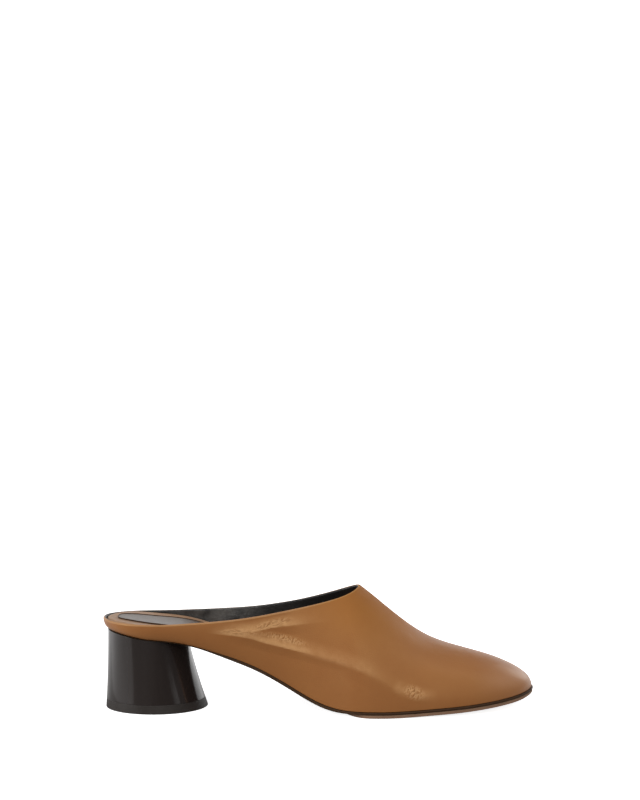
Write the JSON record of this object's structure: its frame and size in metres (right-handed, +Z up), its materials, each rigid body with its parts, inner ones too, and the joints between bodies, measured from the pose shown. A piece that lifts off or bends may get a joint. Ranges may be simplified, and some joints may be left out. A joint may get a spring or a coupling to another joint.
{
  "type": "block heel mule",
  "caption": "Backless closed-toe leather mule for the right foot, with a padded footbed and a flared round block heel.",
  "frame": {"origin": "middle of the shoe's bounding box on the floor it stands on", "axes": "+X towards the toe, +Y towards the inner side of the foot, +Z up"},
  "size_m": [0.2502, 0.0808, 0.0702],
  "materials": {
    "smooth_leather": "smooth tan nappa with a soft sheen",
    "sole_edge": "dyed and waxed edge",
    "tread_leather": "bare leather, matte",
    "footbed_leather": "smooth lining leather",
    "sock_leather": "smooth dark lining leather",
    "polished_heel": "dark stained and lacquered",
    "heel_lift": "dark, satin"
  },
  "bodies": {
    "root": {"upper": "smooth_leather", "sole": "sole_edge", "forefoot_tread": "tread_leather", "insole": "footbed_leather", "heel_pad": "sock_leather", "heel_block": "polished_heel", "heel_lift": "heel_lift"}
  },
  "joints": []
}
